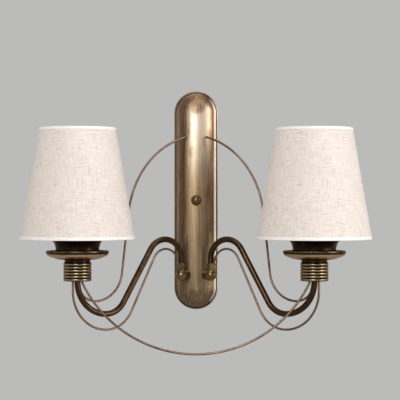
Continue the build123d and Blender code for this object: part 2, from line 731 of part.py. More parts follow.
def make_shade():
    low = shade_bottom_z + trim_thickness
    high = shade_top_z - trim_thickness
    inner = trim_thickness + cloth_thickness
    save_pair("shade_cover", at_light(cone_band(low, high, trim_thickness, inner)))
    slack = trim_clearance
    cloth = cone_band(low - slack, high + slack, trim_thickness - slack, inner + slack)
    bottom = cone_band(shade_bottom_z, shade_bottom_z + trim_height, 0, inner + trim_thickness) - cloth
    top = cone_band(shade_top_z - trim_height, shade_top_z, 0, inner + trim_thickness) - cloth
    save_pair("shade_trims", at_light(bottom), at_light(top))

    inset = inner + trim_thickness + frame_wire_r + hole_clearance
    low_z = shade_bottom_z + trim_thickness + frame_wire_r
    high_z = shade_top_z - trim_thickness - frame_wire_r
    bottom_r = shade_r(low_z) - inset
    bottom_ring = Pos(0, 0, low_z) * Torus(bottom_r, frame_wire_r)
    top_ring = Pos(0, 0, high_z) * Torus(shade_r(high_z) - inset, frame_wire_r)
    fitter = Pos(0, 0, seat_z) * extrude(Circle(fitter_outer_r) - Circle(fitter_inner_r), fitter_thickness)
    frame = bottom_ring + fitter
    plane = Plane.XZ
    hub_r = fitter_outer_r - spoke_r
    hub_z = seat_z + fitter_thickness - spoke_r
    for i in range(spoke_count):
        path = plane * FilletPolyline(
            (hub_r, hub_z), (hub_r + 8, hub_z), (bottom_r - 6, low_z), (bottom_r, low_z), radius=6
        )
        frame += Rot(0, 0, 90 + i * 360 / spoke_count) * rod(path, spoke_r)
    save_pair("shade_frame", at_light(frame), at_light(top_ring))

    bore = holder_r + ring_clearance
    ring = extrude(Circle(ring_r) - Circle(bore), ring_height)
    ring = chamfer(ring.edges().filter_by(GeomType.CIRCLE).sort_by(SortBy.RADIUS)[-2:], 0.6)
    for i in range(ring_notches):
        ring -= Rot(0, 0, i * 360 / ring_notches) * Pos(ring_r + ring_notch_r / 2, 0, 0) * upward_cylinder(
            ring_notch_r, ring_height)
    save_pair("shade_ring", at_light(ring, seat_z + fitter_thickness))


# ---- leads through the arms ----

def make_leads():
    foot = post_axis_place(-tail_length - 5).position
    arm_start = ball_z + socket_depth + 6
    approach = FilletPolyline(
        (lead_block_x, lead_y, block_z - block_height / 2),
        (lead_block_x, lead_y, lead_corner_z),
        (foot.X, foot.Y, ball_z),
        (ball_x, ball_y, ball_z),
        (ball_x, ball_y, arm_start),
        radius=[lead_bend_r, lead_bend_r, 3.2],
    )
    plane = upright_plane((ball_x, ball_y, 0), arm_direction)
    top = holder_z + nipple_socket + lead_stop
    path = Curve() + [approach, plane * (Curve() + arm_edges(arm_start, top))]
    lead = rod(path, lead_r)
    print("lead length", round(path.length, 1), "volume over section", round(lead.volume / (3.14159 * lead_r**2), 1))
    save_pair("lead", lead)


os.makedirs("parts", exist_ok=True)
save("backplate", backplate())
save("wall_bracket", wall_bracket())
make_centre_fixing()
make_terminals()
make_knuckle()
make_arm()
make_hoop()
make_swag()
make_column()
make_lampholder()
make_bulb()
make_shade()
make_leads()
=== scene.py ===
from math import atan2, cos, hypot, pi, radians, sin

import bpy
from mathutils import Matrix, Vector


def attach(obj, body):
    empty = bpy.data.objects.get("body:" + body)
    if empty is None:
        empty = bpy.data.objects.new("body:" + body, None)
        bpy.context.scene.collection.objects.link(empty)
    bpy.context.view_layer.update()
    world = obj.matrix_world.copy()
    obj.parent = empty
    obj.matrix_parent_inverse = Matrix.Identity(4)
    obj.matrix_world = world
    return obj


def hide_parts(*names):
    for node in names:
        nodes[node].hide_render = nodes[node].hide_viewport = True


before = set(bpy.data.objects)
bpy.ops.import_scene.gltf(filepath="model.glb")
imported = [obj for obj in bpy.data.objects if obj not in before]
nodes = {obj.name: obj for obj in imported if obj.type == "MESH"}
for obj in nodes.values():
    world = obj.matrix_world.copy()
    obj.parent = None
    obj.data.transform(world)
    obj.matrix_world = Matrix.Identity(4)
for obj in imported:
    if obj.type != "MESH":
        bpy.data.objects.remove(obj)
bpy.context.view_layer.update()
sides = {"left": -1, "right": 1}
lightX, lightY = 0.154, -0.120    # axis of the right light in metres; the left one mirrors it
print("frame loaded:", len(nodes), "CAD nodes")


# camera at the photograph's viewing angle
cameraSet = {
    "place": (0.0053, -2.07, 0.0004),
    "lens": 135,
    "sensor": 36,
    "near": 0.02,
    "far": 60,
}


def makeCamera():
    data = bpy.data.cameras.new("photoCamera")
    data.lens = cameraSet["lens"]
    data.sensor_width = cameraSet["sensor"]
    data.clip_start = cameraSet["near"]
    data.clip_end = cameraSet["far"]
    camera = bpy.data.objects.new("photoCamera", data)
    bpy.context.scene.collection.objects.link(camera)
    camera.location = cameraSet["place"]
    camera.rotation_euler = (radians(90), 0, 0)
    bpy.context.scene.camera = camera


# small helpers for selecting and finishing meshes
def deselectAll():
    if bpy.context.object and bpy.context.object.mode != "OBJECT":
        bpy.ops.object.mode_set(mode="OBJECT")
    bpy.ops.object.select_all(action="DESELECT")


def pick(piece):
    deselectAll()
    piece.select_set(True)
    bpy.context.view_layer.objects.active = piece


def named(name):
    # the object that the last operator added
    piece = bpy.context.object
    piece.name = name
    piece.data.name = name
    return piece


def settle(piece):
    # its place goes into its mesh, so the object sits at the origin
    pick(piece)
    bpy.ops.object.transform_apply(location=True, rotation=True, scale=True)


def applied(piece, kind, **options):
    pick(piece)
    modifier = piece.modifiers.new(kind.lower(), kind)
    for key, value in options.items():
        setattr(modifier, key, value)
    bpy.ops.object.modifier_apply(modifier=modifier.name)


def smoothed(piece, angle):
    pick(piece)
    bpy.ops.object.shade_smooth_by_angle(angle=radians(angle))


def selectEdges(piece, test):
    # selects the edges whose two end points pass the test, and leaves the piece in edit mode
    pick(piece)
    bpy.ops.object.mode_set(mode="EDIT")
    bpy.ops.mesh.select_mode(type="EDGE")
    bpy.ops.mesh.select_all(action="DESELECT")
    bpy.ops.object.mode_set(mode="OBJECT")
    for edge in piece.data.edges:
        a, b = (piece.data.vertices[i].co for i in edge.vertices)
        edge.select = test(a, b)
    bpy.ops.object.mode_set(mode="EDIT")


# helpers for materials
def startMaterial(name, **sockets):
    material = bpy.data.materials.new(name)
    material.use_nodes = True
    shader = material.node_tree.nodes["Principled BSDF"]
    for socket, value in sockets.items():
        shader.inputs[socket.replace("_", " ")].default_value = value
    return material


def addNode(material, kind, links=(), values=(), **settings):
    # links and values are pairs of a socket, by name or number, and what goes in it
    tree = material.node_tree
    node = tree.nodes.new("ShaderNode" + kind)
    for key, value in settings.items():
        setattr(node, key, value)
    for socket, value in values:
        node.inputs[socket].default_value = value
    for socket, source in links:
        tree.links.new(source, node.inputs[socket])
    return node


def feed(material, socket, source):
    shader = material.node_tree.nodes["Principled BSDF"]
    material.node_tree.links.new(source, shader.inputs[socket])


def placed(material, centre=(0, 0, 0), size=(1, 1, 1), uv=False):
    # coordinates with their origin at centre, where size metres count as one
    source = addNode(material, "TexCoord").outputs["UV" if uv else "Object"]
    mapping = addNode(
        material, "Mapping", [("Vector", source)],
        [("Location", centre), ("Scale", size)], vector_type="TEXTURE")
    return mapping.outputs["Vector"]


def split(material, vector):
    # the X, Y and Z outputs of a vector
    return addNode(material, "SeparateXYZ", [("Vector", vector)]).outputs


def noise(material, size, detail=3.0, rough=0.5, centre=(0, 0, 0), uv=False):
    vector = placed(material, centre, size, uv)
    return addNode(
        material, "TexNoise", [("Vector", vector)],
        [("Scale", 1.0), ("Detail", detail), ("Roughness", rough)]).outputs["Fac"]


def maths(material, operation, a, b=None, clamp=False):
    node = addNode(material, "Math", operation=operation, use_clamp=clamp)
    for i, value in enumerate((a, b)):
        if value is None:
            continue
        if isinstance(value, (int, float)):
            node.inputs[i].default_value = value
        else:
            material.node_tree.links.new(value, node.inputs[i])
    return node.outputs[0]


def flatLength(material, x, y):
    flat = addNode(material, "CombineXYZ", [("X", x), ("Y", y)])
    length = addNode(material, "VectorMath", [(0, flat.outputs["Vector"])], operation="LENGTH")
    return length.outputs["Value"]


def spread(material, source, low, high, toLow=0.0, toHigh=1.0, soft=True):
    # low to high of the source becomes toLow to toHigh
    return addNode(
        material, "MapRange", [("Value", source)],
        [("From Min", low), ("From Max", high), ("To Min", toLow), ("To Max", toHigh)],
        interpolation_type="SMOOTHSTEP" if soft else "LINEAR").outputs["Result"]


def ramp(material, source, stops):
    node = addNode(material, "ValToRGB", [("Fac", source)])
    node.color_ramp.interpolation = "EASE"
    elements = node.color_ramp.elements
    while len(elements) < len(stops):
        elements.new(0.5)
    for element, (position, colour) in zip(elements, stops):
        element.position = position
        element.color = (*colour, 1)
    return node.outputs["Color"]


def blended(material, share, a, b):
    # colours a and b mixed by share, each a colour or a socket
    node = addNode(material, "Mix", data_type="RGBA")
    for socket, value in ((0, share), (6, a), (7, b)):
        if isinstance(value, (int, float)):
            node.inputs[socket].default_value = value
        elif isinstance(value, tuple):
            node.inputs[socket].default_value = (*value, 1)
        else:
            material.node_tree.links.new(value, node.inputs[socket])
    return node.outputs[2]


def relief(material, height, strength, depth):
    bump = addNode(material, "Bump", [("Height", height)], [("Strength", strength), ("Distance", depth)])
    feed(material, "Normal", bump.outputs["Normal"])


# metals: a patina that is relieved along brush lines, mottled, and worn where hands and polish reach; the
# plate and the dishes' bellies also carry painted reflections, highlights and shade
plateBrass = {
    "halfWidth": 0.030,
    "halfStraight": 0.120,    # half the length of the straight sides
    # painted reflections: the light centre, the dark bands and the lighter flanks, partly a relieved finish
    "centre": (0.305, 0.208, 0.110),
    "band": (0.115, 0.052, 0.020),
    "flank": (0.22, 0.145, 0.10),
    "changes": (0.42, 0.68, 0.80, 0.90),    # where these three meet, as shares of the half width
    "offCentre": 0.0028,    # the light middle, a painted reflection, lies this far to the right
    "crown": (0.74, 0.60, 0.46),    # the upper middle is paler, a painted highlight
    "crownShares": (0.20, 0.66),
    "crownHeights": (0.015, 0.105),
    "patinaAndLowShade": (0.135, 0.088, 0.040),    # the clouds are dull patina, and the lower part is darker as painted shade
    "lowShadeHeights": (-0.125, 0.030),
    "lowShadeShare": 0.72,
    "cloudShare": 0.62,
    "topDarkReflection": (0.127, 0.013, 0.009),    # height, half width and half height of the dark patch at the top, a painted dark reflection
    "darkReflectionShare": 0.88,
    "rightEdgeHighlight": (0.74, 0.61, 0.50),    # the right edge is lighter, a painted highlight
    "highlightAcross": (0.016, 0.024),
    "highlightReach": (0.0235, 0.0262),
    # the groove colour is painted shade and the rim colour a painted highlight
    "groove": (0.022, 0.012, 0.006),
    "grooveEdges": (0.895, 0.915, 0.945, 0.962),
    "rim": (0.36, 0.27, 0.18),
    "rimEdge": (0.0286, 0.0293),
    "rimShare": 0.8,
    "brush": (0.0006, 0.004, 0.035),
    "brushDepth": 0.00012,
    "cloud": (0.011, 0.03, 0.034),
    "sway": 0.16,    # how far the clouds push the bands about
    "roughness": (0.27, 0.46),
    "tint": (1.0, 0.86, 0.80, 1),
}


def capsuleDistance(material, parts, offCentre=0.0):
    # distance from an upright line as long as the straight part of the plate
    beyond = maths(material, "SUBTRACT", maths(material, "ABSOLUTE", parts["Z"]), plateBrass["halfStraight"])
    beyond = maths(material, "MAXIMUM", beyond, 0.0)
    return flatLength(material, maths(material, "SUBTRACT", parts["X"], offCentre), beyond)


def plateMaterial():
    s = plateBrass
    m = startMaterial("antiqueBrassPlate", Metallic=1.0, Specular_Tint=s["tint"])
    parts = split(m, placed(m))
    distance = capsuleDistance(m, parts)
    cloud = noise(m, s["cloud"], 3.0, 0.6)
    brush = noise(m, s["brush"], 4.0, 0.6)

    # light in the middle, a dark band to each side of it, then the flanks: painted reflections of lamps and
    # room, partly a relieved finish
    sway = maths(m, "MULTIPLY", maths(m, "SUBTRACT", cloud, 0.5), s["sway"])
    acrossPlate = maths(m, "DIVIDE", capsuleDistance(m, parts, s["offCentre"]), s["halfWidth"])
    share = maths(m, "ADD", acrossPlate, sway)
    tones = (s["centre"], s["band"], s["band"], s["flank"])
    colour = ramp(m, share, [(0.0, s["centre"]), *zip(s["changes"], tones)])
    # the paler upper middle is a painted highlight
    high = spread(m, parts["Z"], *s["crownHeights"])
    middle = spread(m, share, *s["crownShares"], 1.0, 0.0)
    colour = blended(m, maths(m, "MULTIPLY", high, middle), colour, s["crown"])
    colour = blended(m, spread(m, cloud, 0.50, 0.72, 0.0, s["cloudShare"]), colour, s["patinaAndLowShade"])
    # darker towards the bottom: painted shade
    low = spread(m, parts["Z"], *s["lowShadeHeights"], s["lowShadeShare"], 0.0)
    colour = blended(m, low, colour, s["patinaAndLowShade"])

    # the dark patch at the top, a painted dark reflection, and the light right edge, a painted highlight
    height, wide, tall = s["topDarkReflection"]
    above = maths(m, "SUBTRACT", parts["Z"], height)
    stainAndDarkReflection = flatLength(m, maths(m, "DIVIDE", parts["X"], wide), maths(m, "DIVIDE", above, tall))
    stainAndDarkReflection = spread(m, maths(m, "ADD", stainAndDarkReflection, sway), 0.35, 1.45, s["darkReflectionShare"], 0.0)
    colour = blended(m, stainAndDarkReflection, colour, s["band"])
    # the light right edge is a painted highlight
    edgeHighlight = maths(
        m, "MULTIPLY", spread(m, parts["X"], *s["highlightAcross"]), spread(m, distance, *s["highlightReach"]))
    colour = blended(m, edgeHighlight, colour, s["rightEdgeHighlight"])

    # brush lines, then the groove darkened as painted shade and the rim lightened as a painted highlight
    colour = blended(m, spread(m, brush, 0.42, 0.70, 0.0, 0.30), colour, s["crown"])
    colour = blended(m, spread(m, brush, 0.30, 0.48, 0.20, 0.0), colour, s["band"])
    black, white = (0, 0, 0), (1, 1, 1)
    groove = ramp(m, maths(m, "DIVIDE", distance, s["halfWidth"]), [
        (0.0, black), *zip(s["grooveEdges"], (black, white, white, black))])
    colour = blended(m, groove, colour, s["groove"])
    rim = maths(m, "MULTIPLY", spread(m, distance, *s["rimEdge"]), s["rimShare"])
    feed(m, "Base Color", blended(m, rim, colour, s["rim"]))

    rough = spread(m, brush, 0.25, 0.75, *s["roughness"], soft=False)
    rough = maths(m, "ADD", rough, spread(m, cloud, 0.4, 0.75, 0.0, 0.10), clamp=True)
    feed(m, "Roughness", rough)
    relief(m, brush, 0.35, s["brushDepth"])
    return m


armBrass = {
    "dent": (0.005, 0.005, 0.012),
    "depth": 0.00006,
    "tones": [(0.30, (0.038, 0.020, 0.010)), (0.52, (0.068, 0.038, 0.020)), (0.76, (0.145, 0.091, 0.049))],
    "brush": (0.0035, 0.0035, 0.014),
    "cloud": (0.022, 0.022, 0.034),
    "roughness": (0.25, 0.38),
    "tint": (0.95, 0.78, 0.68, 1),
}
rodBrass = {
    "dent": (0.007, 0.007, 0.016),
    "depth": 0.00003,
    "tones": [(0.30, (0.115, 0.066, 0.042)), (0.52, (0.21, 0.138, 0.094)), (0.78, (0.40, 0.30, 0.225))],
    "brush": (0.006, 0.006, 0.012),
    "cloud": (0.034, 0.034, 0.040),
    "roughness": (0.30, 0.42),
    "tint": (1.0, 0.84, 0.76, 1),
}
ballBrass = {
    "dent": (0.005, 0.005, 0.005),
    "depth": 0.00006,
    "tones": [(0.28, (0.085, 0.048, 0.022)), (0.50, (0.16, 0.102, 0.050)), (0.76, (0.28, 0.195, 0.10))],
    "brush": (0.0040, 0.0040, 0.0060),
    "cloud": (0.010, 0.010, 0.012),
    "roughness": (0.20, 0.31),
    "tint": (1.0, 0.84, 0.72, 1),
}
darkBronze = {
    "dent": (0.006, 0.006, 0.004),
    "depth": 0.00008,
    "tones": [(0.30, (0.018, 0.009, 0.0045)), (0.52, (0.042, 0.024, 0.013)), (0.78, (0.11, 0.068, 0.038))],
    "brush": (0.0022, 0.0022, 0.0010),
    "cloud": (0.010, 0.010, 0.008),
    "roughness": (0.24, 0.38),
    "tint": (0.92, 0.74, 0.68, 1),
}
bronze = {
    "dent": (0.006, 0.006, 0.004),
    "depth": 0.00005,
    "tones": [(0.30, (0.045, 0.025, 0.012)), (0.52, (0.11, 0.068, 0.034)), (0.76, (0.26, 0.18, 0.10))],
    "brush": (0.0030, 0.0030, 0.0006),
    "cloud": (0.010, 0.010, 0.006),
    "roughness": (0.22, 0.36),
    "tint": (1.0, 0.82, 0.74, 1),
}


def patinaColour(m, s, centre=(0, 0, 0)):
    cloud = noise(m, s["cloud"], 3.0, 0.55, centre)
    brush = noise(m, s["brush"], 3.0, 0.6, centre)
    tone = maths(m, "ADD", maths(m, "MULTIPLY", cloud, 0.55), maths(m, "MULTIPLY", brush, 0.45))
    feed(m, "Roughness", spread(m, brush, 0.25, 0.75, *s["roughness"], soft=False))
    relief(m, noise(m, s["dent"], 1.0, 0.5, centre), 0.10, s["depth"])
    return ramp(m, tone, s["tones"]), cloud


def patinaMaterial(name, s):
    m = startMaterial(name, Metallic=1.0, Specular_Tint=s["tint"])
    colour, _ = patinaColour(m, s)
    feed(m, "Base Color", colour)
    return m


def axisOf(side):
    return sides[side] * lightX, lightY, 0


def axisParts(m, side):
    # radius and height about the light's axis
    parts = split(m, placed(m, axisOf(side)))
    return flatLength(m, parts["X"], parts["Y"]), parts["Z"]


ferruleWear = {
    "grooveRadius": 0.01735,
    "crestRadius": 0.01846,
    "darkTo": 0.0003,      # the dark ends this far under the crests
    "brightFrom": 0.0004,
    "brightShare": 0.5,
    "sway": 0.0006,
    "groove": (0.010, 0.006, 0.003),
    "crest": (0.50, 0.385, 0.235),
}


def ferruleMaterial(side):
    # ribs rubbed bright on their crests, nearly black between them
    w = ferruleWear
    m = startMaterial("ribbedBronze_" + side, Metallic=1.0, Specular_Tint=bronze["tint"])
    colour, cloud = patinaColour(m, bronze, axisOf(side))
    radius, _ = axisParts(m, side)
    radius = maths(m, "ADD", radius, maths(m, "MULTIPLY", maths(m, "SUBTRACT", cloud, 0.5), w["sway"]))
    deep = spread(m, radius, w["grooveRadius"], w["crestRadius"] - w["darkTo"], 1.0, 0.0)
    worn = spread(m, radius, w["crestRadius"] - w["brightFrom"], w["crestRadius"], 0.0, w["brightShare"])
    colour = blended(m, deep, colour, w["groove"])
    feed(m, "Base Color", blended(m, worn, colour, w["crest"]))
    return m


dishWearAndHighlight = {
    "band": (-0.0735, -0.0705),    # lower and upper edge of the painted highlight on the belly
    "fade": (0.0018, 0.0016),      # how far it fades below and above
    "gold": (0.56, 0.38, 0.22),
    "goldShare": 0.9,
    "lip": (-0.0668, -0.0658),
    "worn": (0.55, 0.43, 0.28),
    "wornShare": 0.5,
    "sway": 0.002,
}


def dishMaterial(side):
    # a dark dish with a painted soft gold highlight along its belly, and rubbed to gold along its lip
    w = dishWearAndHighlight
    m = startMaterial("dishBronze_" + side, Metallic=1.0, Specular_Tint=darkBronze["tint"])
    colour, cloud = patinaColour(m, darkBronze, axisOf(side))
    _, height = axisParts(m, side)
    height = maths(m, "ADD", height, maths(m, "MULTIPLY", maths(m, "SUBTRACT", cloud, 0.5), w["sway"]))
    # the gold band on the belly is a painted highlight
    low, high = w["band"]
    up = spread(m, height, low - w["fade"][0], low)
    down = spread(m, height, high, high + w["fade"][1], 1.0, 0.0)
    belly = maths(m, "MULTIPLY", maths(m, "MULTIPLY", up, down), w["goldShare"])
    colour = blended(m, belly, colour, w["gold"])
    lip = spread(m, height, *w["lip"], 0.0, w["wornShare"])
    feed(m, "Base Color", blended(m, lip, colour, w["worn"]))
    return m


cupWear = {"lip": (-0.0515, -0.0503), "worn": (0.26, 0.18, 0.11), "wornShare": 0.5}


def cupMaterial(side):
    w = cupWear
    m = startMaterial("cupBronze_" + side, Metallic=1.0, Specular_Tint=darkBronze["tint"])
    colour, _ = patinaColour(m, darkBronze, axisOf(side))
    _, height = axisParts(m, side)
    lip = spread(m, height, *w["lip"], 0.0, w["wornShare"])
    feed(m, "Base Color", blended(m, lip, colour, w["worn"]))
    return m


zincSteel = {
    "pale": (0.60, 0.61, 0.62),
    "grey": (0.36, 0.37, 0.39),
    "spangle": 0.0022,
    "stainAndDarkReflection": (0.006, 0.006, 0.009),
    "grain": 0.0005,
    "roughness": (0.26, 0.44),
}


def zincMaterial():
    s = zincSteel
    m = startMaterial("zincPlatedSteel", Metallic=1.0)
    cells = addNode(
        m, "TexVoronoi", [("Vector", placed(m, size=(s["spangle"],) * 3))], [("Scale", 1.0)])
    grey = addNode(m, "RGBToBW", [("Color", cells.outputs["Color"])]).outputs[0]
    stainAndDarkReflection = noise(m, s["stainAndDarkReflection"])
    tone = maths(m, "ADD", maths(m, "MULTIPLY", grey, 0.5), maths(m, "MULTIPLY", stainAndDarkReflection, 0.5))
    feed(m, "Base Color", ramp(m, tone, [(0.25, s["grey"]), (0.7, s["pale"])]))
    feed(m, "Roughness", spread(m, tone, 0.2, 0.8, *s["roughness"], soft=False))
    relief(m, noise(m, (s["grain"],) * 3), 0.15, 0.00005)
    return m


brightBrass = {"light": (0.74, 0.56, 0.26), "dull": (0.46, 0.31, 0.12)}


def contactMaterial():
    m = startMaterial("contactBrass", Metallic=1.0)
    tarnish = noise(m, (0.004, 0.004, 0.003), 4.0, 0.6)
    feed(m, "Base Color", ramp(m, tarnish, [(0.35, brightBrass["light"]), (0.7, brightBrass["dull"])]))
    feed(m, "Roughness", spread(m, tarnish, 0.3, 0.7, 0.2, 0.42, soft=False))
    relief(m, noise(m, (0.0008, 0.0008, 0.0004)), 0.15, 0.00005)
    return m


capMetal = {"light": (0.70, 0.70, 0.68), "dull": (0.46, 0.455, 0.43)}


def capMaterial():
    m = startMaterial("rolledCap", Metallic=1.0)
    haze = noise(m, (0.005, 0.005, 0.0012), 3.0, 0.6)
    feed(m, "Base Color", ramp(m, haze, [(0.35, capMetal["light"]), (0.7, capMetal["dull"])]))
    feed(m, "Roughness", spread(m, haze, 0.3, 0.7, 0.22, 0.40, soft=False))
    relief(m, noise(m, (0.002, 0.002, 0.0002)), 0.18, 0.00004)
    return m


plastics = {
    "holder": {
        "base": (0.80, 0.765, 0.67), "shade": (0.70, 0.655, 0.55),
        "roughness": (0.22, 0.36), "grain": 0.0006, "depth": 0.06},
    "block": {
        "base": (0.80, 0.78, 0.71), "shade": (0.71, 0.69, 0.62),
        "roughness": (0.38, 0.52), "grain": 0.0009, "depth": 0.06},
    "lead": {
        "base": (0.78, 0.75, 0.66), "shade": (0.66, 0.63, 0.54),
        "roughness": (0.40, 0.55), "grain": 0.0007, "depth": 0.06},
    "wire": {
        "base": (0.82, 0.81, 0.78), "shade": (0.73, 0.715, 0.68),
        "roughness": (0.26, 0.40), "grain": 0.0010, "depth": 0.0},
    "seal": {
        "base": (0.020, 0.020, 0.022), "shade": (0.035, 0.034, 0.036),
        "roughness": (0.12, 0.24), "grain": 0.0012, "depth": 0.0},
}


def mouldedMaterial(name, kind):
    # moulded or painted: slight cloudiness, a fine orange-peel skin, a little yellowing
    s = plastics[kind]
    m = startMaterial(name, Subsurface_Weight=s["depth"], Subsurface_Scale=0.002)
    cloud = noise(m, (0.012, 0.012, 0.014))
    feed(m, "Base Color", ramp(m, cloud, [(0.35, s["base"]), (0.75, s["shade"])]))
    skin = noise(m, (s["grain"],) * 3, 2.0)
    feed(m, "Roughness", spread(m, skin, 0.25, 0.75, *s["roughness"], soft=False))
    relief(m, skin, 0.12, 0.00006)
    return m


earthSheath = {
    "green": (0.045, 0.26, 0.055),
    "yellow": (0.78, 0.60, 0.035),
    "dust": (0.25, 0.25, 0.2),
    "stripeFrom": 0.0080,
    "stripeEdge": 0.0002,
}


def earthMaterial():
    # green sheath with a yellow stripe along one side
    s = earthSheath
    m = startMaterial("earthSheath", Roughness=0.45)
    scuff = noise(m, (0.002, 0.002, 0.004))
    place = maths(m, "ADD", split(m, placed(m))["X"], maths(m, "MULTIPLY", scuff, s["stripeEdge"]))
    stripe = spread(m, place, s["stripeFrom"], s["stripeFrom"] + s["stripeEdge"])
    base = blended(m, stripe, s["green"], s["yellow"])
    feed(m, "Base Color", blended(m, spread(m, scuff, 0.4, 0.8, 0.0, 0.25), base, s["dust"]))
    relief(m, scuff, 0.1, 0.00005)
    return m


opalGlass = {"body": (0.90, 0.885, 0.85), "shade": (0.84, 0.82, 0.775), "roughness": (0.16, 0.26)}


def opalMaterial():
    # satin opal glass that lets light spread inside it
    s = opalGlass
    m = startMaterial(
        "opalGlass", Subsurface_Weight=0.55, Subsurface_Scale=0.006, Subsurface_Radius=(1.0, 1.0, 1.0),
        IOR=1.5, Coat_Weight=0.35, Coat_Roughness=0.12)
    haze = noise(m, (0.018, 0.018, 0.022), 2.0)
    feed(m, "Base Color", ramp(m, haze, [(0.3, s["body"]), (0.75, s["shade"])]))
    feed(m, "Roughness", spread(m, haze, 0.3, 0.7, *s["roughness"], soft=False))
    relief(m, noise(m, (0.009, 0.009, 0.009), 1.0), 0.06, 0.0003)
    return m


# cloth: a plain weave in the flat cut's own coordinates, in metres
linen = {
    "warpPitch": 0.00125,
    "weftPitch": 0.00115,
    "light": (0.875, 0.80, 0.735),
    "base": (0.845, 0.765, 0.695),
    "gap": (0.50, 0.395, 0.325),
    "gapShare": 0.85,
    "thinShare": 0.60,    # where both threads run thin the gaps show
    "slub": (0.93, 0.87, 0.82),
    "slubShare": 0.65,
    "warpSlub": (0.0013, 0.015, 1),
    "weftSlub": (0.017, 0.0013, 1),
    "thread": 0.00016,    # how high the threads stand
}


def threads(m, axis, pitch, wander):
    # one set of threads across the cut: a rounded wave, its spacing wandering a little
    place = split(m, placed(m, uv=True))[axis]
    place = maths(m, "ADD", place, maths(m, "MULTIPLY", wander, pitch * 1.1))
    return maths(m, "SINE", maths(m, "MULTIPLY", place, 2 * pi / pitch))


def linenMaterial():
    s = linen
    m = startMaterial(
        "linenCloth", Roughness=0.92, Sheen_Weight=0.18, Sheen_Roughness=0.5, Sheen_Tint=(1.0, 0.95, 0.9, 1),
        Subsurface_Weight=0.04, Subsurface_Scale=0.002)
    warp = threads(m, "X", s["warpPitch"], noise(m, (0.004, 0.05, 1), 2.0, uv=True))
    weft = threads(m, "Y", s["weftPitch"], noise(m, (0.05, 0.004, 1), 2.0, uv=True))

    # over and under: a check of one thread by one chooses which set lies on top
    parts = split(m, placed(m, uv=True))
    checkX = maths(m, "SINE", maths(m, "MULTIPLY", parts["X"], pi / s["warpPitch"]))
    checkY = maths(m, "SINE", maths(m, "MULTIPLY", parts["Y"], pi / s["weftPitch"]))
    over = spread(m, maths(m, "MULTIPLY", checkX, checkY), -0.35, 0.35)
    warpHigh = spread(m, warp, -1.0, 1.0, soft=False)
    weftHigh = spread(m, weft, -1.0, 1.0, soft=False)
    weave = addNode(m, "Mix", [(0, over), (2, warpHigh), (3, weftHigh)], data_type="FLOAT").outputs[0]

    # thick and thin places along the threads
    warpSlub = noise(m, s["warpSlub"], 2.0, 0.6, uv=True)
    weftSlub = noise(m, s["weftSlub"], 2.0, 0.6, uv=True)
    slub = maths(m, "MAXIMUM", warpSlub, weftSlub)
    thin = maths(m, "MINIMUM", warpSlub, weftSlub)
    cloud = noise(m, (0.03, 0.04, 1), 2.0, uv=True)
    colour = ramp(m, cloud, [(0.35, s["base"]), (0.70, s["light"])])
    colour = blended(m, spread(m, weave, 0.45, 0.10, 0.0, s["gapShare"]), colour, s["gap"])
    colour = blended(m, spread(m, thin, 0.44, 0.30, 0.0, s["thinShare"]), colour, s["gap"])
    colour = blended(m, spread(m, slub, 0.54, 0.72, 0.0, s["slubShare"]), colour, s["slub"])
    feed(m, "Base Color", colour)
    relief(m, maths(m, "ADD", weave, maths(m, "MULTIPLY", slub, 0.8)), 0.55, s["thread"])
    return m


backing = {"base": (0.83, 0.80, 0.745), "shade": (0.78, 0.745, 0.685)}


def backingMaterial():
    # the stiff white film that the cloth is glued to, seen inside the shade
    m = startMaterial("stiffBacking", Roughness=0.55, Subsurface_Weight=0.05, Subsurface_Scale=0.002)
    cloud = noise(m, (0.02, 0.025, 1), 2.0, uv=True)
    feed(m, "Base Color", ramp(m, cloud, [(0.35, backing["base"]), (0.75, backing["shade"])]))
    warp = threads(m, "X", linen["warpPitch"], cloud)
    weft = threads(m, "Y", linen["weftPitch"], cloud)
    relief(m, maths(m, "ADD", warp, weft), 0.12, 0.00003)
    return m


tape = {"rib": 0.0009, "light": (0.93, 0.895, 0.865), "shade": (0.85, 0.80, 0.75)}


def tapeMaterial():
    # folded cotton tape, finely ribbed across
    m = startMaterial("foldedTape", Roughness=0.8, Sheen_Weight=0.25, Sheen_Roughness=0.4)
    drift = noise(m, (0.006, 0.02, 1), 2.0, uv=True)
    rib = threads(m, "X", tape["rib"], drift)
    cloud = noise(m, (0.012, 0.004, 1), 3.0, uv=True)
    colour = ramp(m, cloud, [(0.35, tape["light"]), (0.75, tape["shade"])])
    colour = blended(m, spread(m, rib, -0.5, -1.0, 0.0, 0.3), colour, linen["gap"])
    feed(m, "Base Color", colour)
    relief(m, rib, 0.35, 0.00005)
    return m


# shade covers: the flat cut is rolled up into a cone, its ends lapped at the back
cover = {
    "bottomZ": -0.0506,
    "height": 0.145,
    "bottomRadius": 0.075,
    "topRadius": 0.050,
    "inset": 0.00035,      # the cloth's face lies this far inside the tape's
    "thickness": 0.0008,
    "lapAngle": 5.6,       # degrees of overlap
    "lapRise": 0.00086,    # the outer end lies on the inner one
    "liftAngle": 9.0,      # degrees over which it rises
    "wave": 0.0001,        # the cloth is never quite round
    "around": 216,
    "up": 14,
    "seamAt": 90,          # degrees about +Z, at the wall side
}
trim = {
    "height": 0.0040,
    "wall": 0.0019,
    "round": 0.00045,
    "around": 192,
    "wave": 0.00005,
    "edgeWave": 1.6,       # the raw edge is this much wavier than the face
    "edgeReach": 0.0006,
    "fadeAngle": 2,        # degrees over which the lap's rise ends
    "innerFrom": 0.0009,   # the inner side of the fold starts this far inside the face
    "innerShift": 0.004,   # and takes the pattern from further up the tape
}


def coneRadius(z):
    share = (z - cover["bottomZ"]) / cover["height"]
    return cover["bottomRadius"] + (cover["topRadius"] - cover["bottomRadius"]) * share


